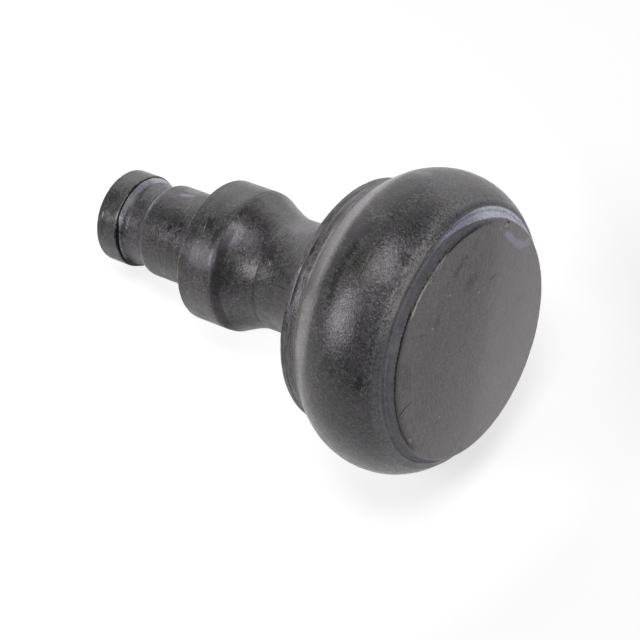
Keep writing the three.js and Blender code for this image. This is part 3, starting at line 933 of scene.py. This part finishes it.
    # relief in millimetres: pebbled on the bead, finer elsewhere, with turning lines behind it
    pebbled = product(ramp("pebbleBack", depth), ramp("pebbleFront", depth))
    relief = mixture((product(pebble, pebbled), f["pebbleHeight"]), (fine, f["fineHeight"]),
                     (mottle, f["mottleHeight"]), (product(rings, behindBead), f["ringHeight"]),
                     (product(chipped, pebble), f["chipHeight"]), (chipLine, f["chipLineHeight"]),
                     (sootAndShade, f["sootAndShadeHeight"]), (product(drawn, onFace), f["fileHeight"]),
                     (daubs(spot, soft, m, dents), f["dentHeight"]))
    bump = addNode(tree, "ShaderNodeBump")
    bump.inputs["Strength"].default_value = 1.0
    bump.inputs["Distance"].default_value = mm
    feed(bump.inputs["Height"], relief)
    feed(shader.inputs["Normal"], bump.outputs["Normal"])
    return iron


iron = waxedIron(finish, marks, turning)
finial = turnFinial(turning, outline, iron)
mesh = finial.data
mesh.shade_smooth()
mesh.set_sharp_from_angle(angle=math.radians(turning["sharpFrom"]))
print("finial", len(mesh.vertices), "points", sum(len(p.vertices) - 2 for p in mesh.polygons), "triangles")

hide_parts("finial")
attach(finial, "root")


# studio: pale floor, a light overhead, one at the left, pale surroundings

studio = {
    "aim": (0.0, 0.0, 0.025),         # where the lights point
    "overhead": {"towards": (-0.034, -0.105, 0.995), "far": 0.9, "side": 0.42, "watts": 4.2},
    "left": {"towards": (-0.429, -0.748, 0.509), "far": 0.9, "side": 0.42, "watts": 4.4},
    "backdropSide": (-0.579, 0.815, 0.0),
    "backdropAcross": (0.0, 0.9),     # it fades in towards its middle and out towards the top
    "backdropUp": (1.0, 0.3),
    "backdrop": 2.0,
    "room": 0.05,
    "floorRadius": 2.5,
    "floorSides": 96,
    "floorDrop": 0.02,                # millimetres below the ground
    "floorShade": 0.45,
    "floorRoughness": 0.9,
    "floorGloss": 0.05,
    "floorGlow": 0.8,                 # it is brightest in the middle of the picture
    "floorGlowReach": 100.0,          # millimetres
    "floorGlowLeast": 0.55,
}


def softLight(name, spec, target):
    light = bpy.data.lights.new(name, "AREA")
    light.shape = "SQUARE"
    light.size = spec["side"]
    light.energy = spec["watts"]
    lamp = bpy.data.objects.new(name, light)
    towards = Vector(spec["towards"]).normalized()
    lamp.location = target + towards * spec["far"]
    lamp.rotation_euler = towards.to_track_quat("Z", "Y").to_euler()
    bpy.context.scene.collection.objects.link(lamp)


def paleFloor(spec, middle, sideways, squash):
    radius, count = spec["floorRadius"], spec["floorSides"]
    mesh = bpy.data.meshes.new("floor")
    angles = [math.tau * i / count for i in range(count)]
    ring = [(radius * math.cos(angle), radius * math.sin(angle), -spec["floorDrop"] * mm) for angle in angles]
    mesh.from_pydata(ring, [], [tuple(range(count))])
    floor = bpy.data.objects.new("floor", mesh)
    bpy.context.scene.collection.objects.link(floor)
    paint = bpy.data.materials.new("paleFloor")
    paint.use_nodes = True
    tree = paint.node_tree
    shader = tree.nodes["Principled BSDF"]
    shader.inputs["Base Color"].default_value = (*[spec["floorShade"]] * 3, 1.0)
    shader.inputs["Roughness"].default_value = spec["floorRoughness"]
    shader.inputs["Specular IOR Level"].default_value = spec["floorGloss"]
    shader.inputs["Emission Color"].default_value = (1.0, 1.0, 1.0, 1.0)
    shift = addNode(tree, "ShaderNodeMapping", vector_type="TEXTURE")
    feed(shift.inputs["Vector"], addNode(tree, "ShaderNodeTexCoord").outputs["Object"])
    shift.inputs["Location"].default_value = middle
    shift.inputs["Rotation"].default_value = (0.0, 0.0, sideways)
    reach = spec["floorGlowReach"] * mm
    shift.inputs["Scale"].default_value = (reach, reach / squash, 1.0)
    away = vectorSums("LENGTH", shift.outputs["Vector"])
    glow = sums("EXPONENT", product(away, away, -1.0))
    glow = sums("MAXIMUM", product(glow, spec["floorGlow"]), spec["floorGlowLeast"])
    feed(shader.inputs["Emission Strength"], glow)
    mesh.materials.append(paint)


softLight("overheadLight", studio["overhead"], Vector(studio["aim"]))
softLight("leftLight", studio["left"], Vector(studio["aim"]))
world = bpy.data.worlds.new("surroundings")
world.use_nodes = True
sky = world.node_tree
towards = addNode(sky, "ShaderNodeTexCoord").outputs["Generated"]
rising = addNode(sky, "ShaderNodeSeparateXYZ")
feed(rising.inputs[0], towards)
facing = vectorSums("DOT_PRODUCT", towards, studio["backdropSide"])
backdrop = product(fade(facing, *studio["backdropAcross"]), fade(rising.outputs["Z"], *studio["backdropUp"]))
feed(sky.nodes["Background"].inputs["Strength"],
     mixture((backdrop, studio["backdrop"] - studio["room"]), (1.0, studio["room"])))
sky.nodes["Background"].inputs["Color"].default_value = (1.0, 1.0, 1.0, 1.0)
scene = bpy.context.scene
scene.world = world
scene.view_settings.view_transform = "Standard"

view = {
    "azimuth": 35.354, "elevation": 54.449,   # degrees, as the photo was taken
    "lens": 146.25, "sensor": 36.0,
    "aside": -26.406, "above": 3.586, "away": 455.0,   # millimetres from the middle of the face
    "clip": (0.01, 20.0),
}


def photoCamera(v):
    azimuth, elevation = math.radians(v["azimuth"]), math.radians(v["elevation"])
    right = Vector((math.cos(azimuth), math.sin(azimuth), 0.0))
    up = Vector((-math.sin(azimuth) * math.sin(elevation), math.cos(azimuth) * math.sin(elevation),
                 math.cos(elevation)))
    back = right.cross(up)
    camera = bpy.data.cameras.new("photoCamera")
    camera.lens = v["lens"]
    camera.sensor_width = v["sensor"]
    camera.clip_start, camera.clip_end = v["clip"]
    eye = bpy.data.objects.new("photoCamera", camera)
    eye.location = faceMiddle + (right * v["aside"] + up * v["above"] + back * v["away"]) * mm
    eye.rotation_euler = Matrix((right, up, back)).transposed().to_euler()
    bpy.context.scene.collection.objects.link(eye)
    bpy.context.scene.camera = eye
    return eye.location - back * (eye.location.z / back.z)


aimedAt = photoCamera(view)
paleFloor(studio, aimedAt, math.radians(view["azimuth"]), math.sin(math.radians(view["elevation"])))
print("studio and camera set")
